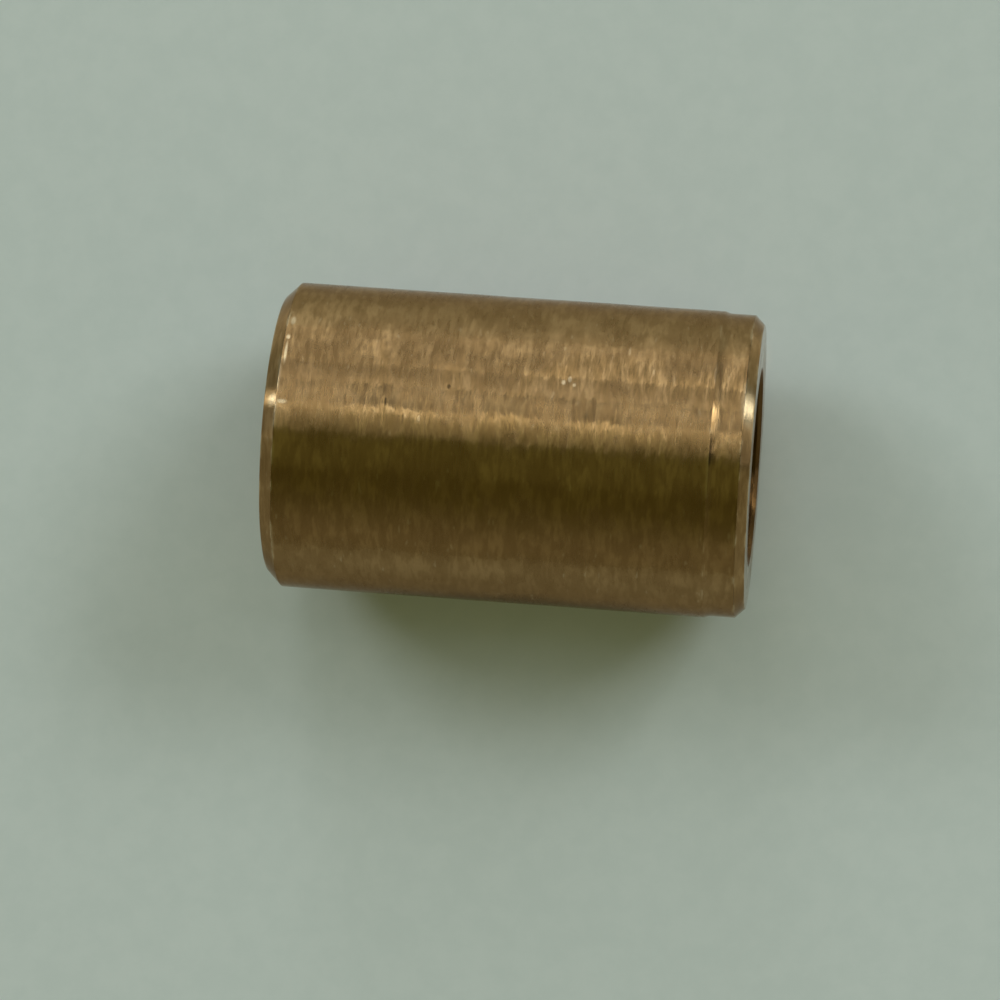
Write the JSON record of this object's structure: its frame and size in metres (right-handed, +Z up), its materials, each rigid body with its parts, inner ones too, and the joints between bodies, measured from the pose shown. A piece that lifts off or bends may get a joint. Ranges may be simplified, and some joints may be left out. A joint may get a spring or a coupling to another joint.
{
  "type": "bronze sleeve bushing",
  "caption": "Plain cylindrical bronze sleeve bushing with a through bore, chamfered ends and a short stepped pilot at one end for starting it into its housing.",
  "frame": {"origin": "centre of the bore, midway between the two end faces", "axes": "+X along the bore towards the end with the stepped pilot; +Z up from the surface that the sleeve lies on; the sleeve touches that surface at Z = -8 mm"},
  "size_m": [0.025, 0.016, 0.016],
  "materials": {
    "bronze": "turned bronze, satin, with fine tool marks round it and light tarnish"
  },
  "bodies": {
    "root": {"bushing_sleeve": "bronze"}
  },
  "joints": []
}
